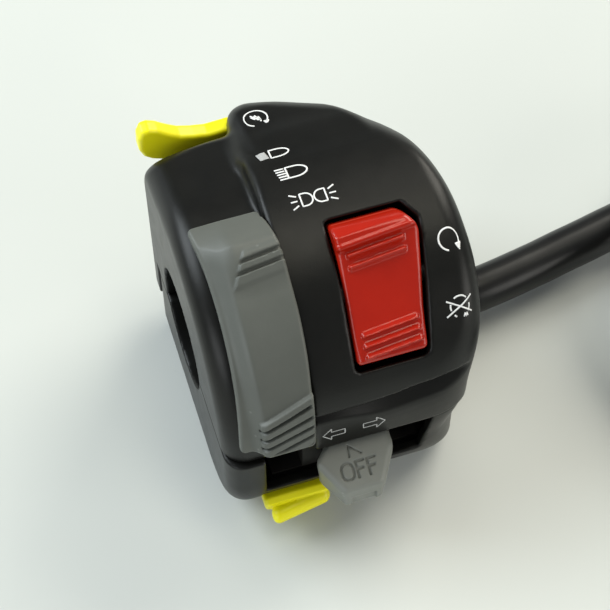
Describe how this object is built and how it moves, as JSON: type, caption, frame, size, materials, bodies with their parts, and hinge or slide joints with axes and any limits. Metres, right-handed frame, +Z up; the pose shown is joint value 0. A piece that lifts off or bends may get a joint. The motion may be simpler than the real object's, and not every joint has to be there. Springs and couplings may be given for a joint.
{
  "type": "handlebar switch cluster",
  "caption": "Motorbike handlebar switch housing that clamps round the bar, with a light slider, kill rocker, turn knob, starter lever, horn lever and a cable with plug.",
  "frame": {"origin": "on the handlebar axis at the middle of the housing's length", "axes": "+X along the bar towards the cable, +Z up off the table, -Y to the front with the turn knob"},
  "size_m": [0.1865, 0.1092, 0.058],
  "materials": {
    "housing_black": "fine satin grain",
    "grey_plastic": "satin",
    "red_plastic": "glossy",
    "yellow_plastic": "semi gloss",
    "switch_plastic": "matte",
    "brass": "bright",
    "steel": "zinc plated",
    "cable_rubber": "smooth sheath",
    "plug_plastic": "moulded"
  },
  "bodies": {
    "housing": {"upper_housing": "housing_black", "lower_housing": "housing_black", "housing_screws": "steel", "thread_inserts": "brass", "light_contact_plate": "switch_plastic", "light_plate_screws": "steel", "kill_pivot_pin": "steel", "kill_contact_base": "switch_plastic", "kill_contacts": "brass", "kill_base_screws": "steel", "turn_tray": "switch_plastic", "turn_contacts": "brass", "turn_tray_screws": "steel", "starter_pivot_pin": "steel", "starter_switch_block": "switch_plastic", "starter_plunger": "brass", "starter_spring": "steel", "horn_pivot_pin": "steel", "horn_fixed_contact": "brass", "horn_spring": "steel", "cable_grommet": "cable_rubber", "cable_entry": "cable_rubber", "cable_clamp": "steel", "cable_clamp_screws": "steel", "cable_lead": "cable_rubber", "cable_coil": "cable_rubber", "cable_tie": "plug_plastic", "connector_shell": "plug_plastic", "connector_terminals": "brass"},
    "light_slider": {"light_slider": "grey_plastic", "slider_shoe": "switch_plastic", "slider_contact_bridge": "brass", "slider_detent_ball": "steel"},
    "kill_rocker": {"kill_rocker": "red_plastic", "kill_plunger": "brass"},
    "turn_carriage": {"turn_carriage": "switch_plastic", "turn_contact_bridge": "brass", "turn_spring": "steel"},
    "turn_knob": {"turn_knob": "grey_plastic"},
    "starter_lever": {"starter_lever": "yellow_plastic"},
    "horn_lever": {"horn_lever": "yellow_plastic", "horn_moving_contact": "brass"}
  },
  "joints": [
    {"name": "light_select", "type": "hinge", "parent": "housing", "child": "light_slider", "pos_m": [0, 0, 0], "axis": [-1, 0, 0], "range_deg": [0, 16]},
    {"name": "kill_rock", "type": "hinge", "parent": "housing", "child": "kill_rocker", "pos_m": [0.00745, -0.01325, 0.0212], "axis": [1, 0, 0], "range_deg": [-14, 0]},
    {"name": "turn_slide", "type": "slide", "parent": "housing", "child": "turn_carriage", "axis": [1, 0, 0], "range_m": [-0.0055, 0.0055]},
    {"name": "turn_cancel", "type": "slide", "parent": "turn_carriage", "child": "turn_knob", "axis": [0, 1, 0], "range_m": [0, 0.002], "stiffness_N_per_m": 300, "springref_m": -0.004, "deforming": ["turn_spring"]},
    {"name": "starter_pull", "type": "hinge", "parent": "housing", "child": "starter_lever", "pos_m": [0.002, 0.0265, 0], "axis": [0, 0, 1], "range_deg": [0, 4], "stiffness_Nm_per_rad": 0.05, "springref_deg": -17.19, "deforming": ["starter_spring"]},
    {"name": "horn_press", "type": "hinge", "parent": "housing", "child": "horn_lever", "pos_m": [0, -0.015, -0.0195], "axis": [-1, 0, 0], "range_deg": [0, 6], "stiffness_Nm_per_rad": 0.05, "springref_deg": -17.19, "deforming": ["horn_spring"]}
  ]
}
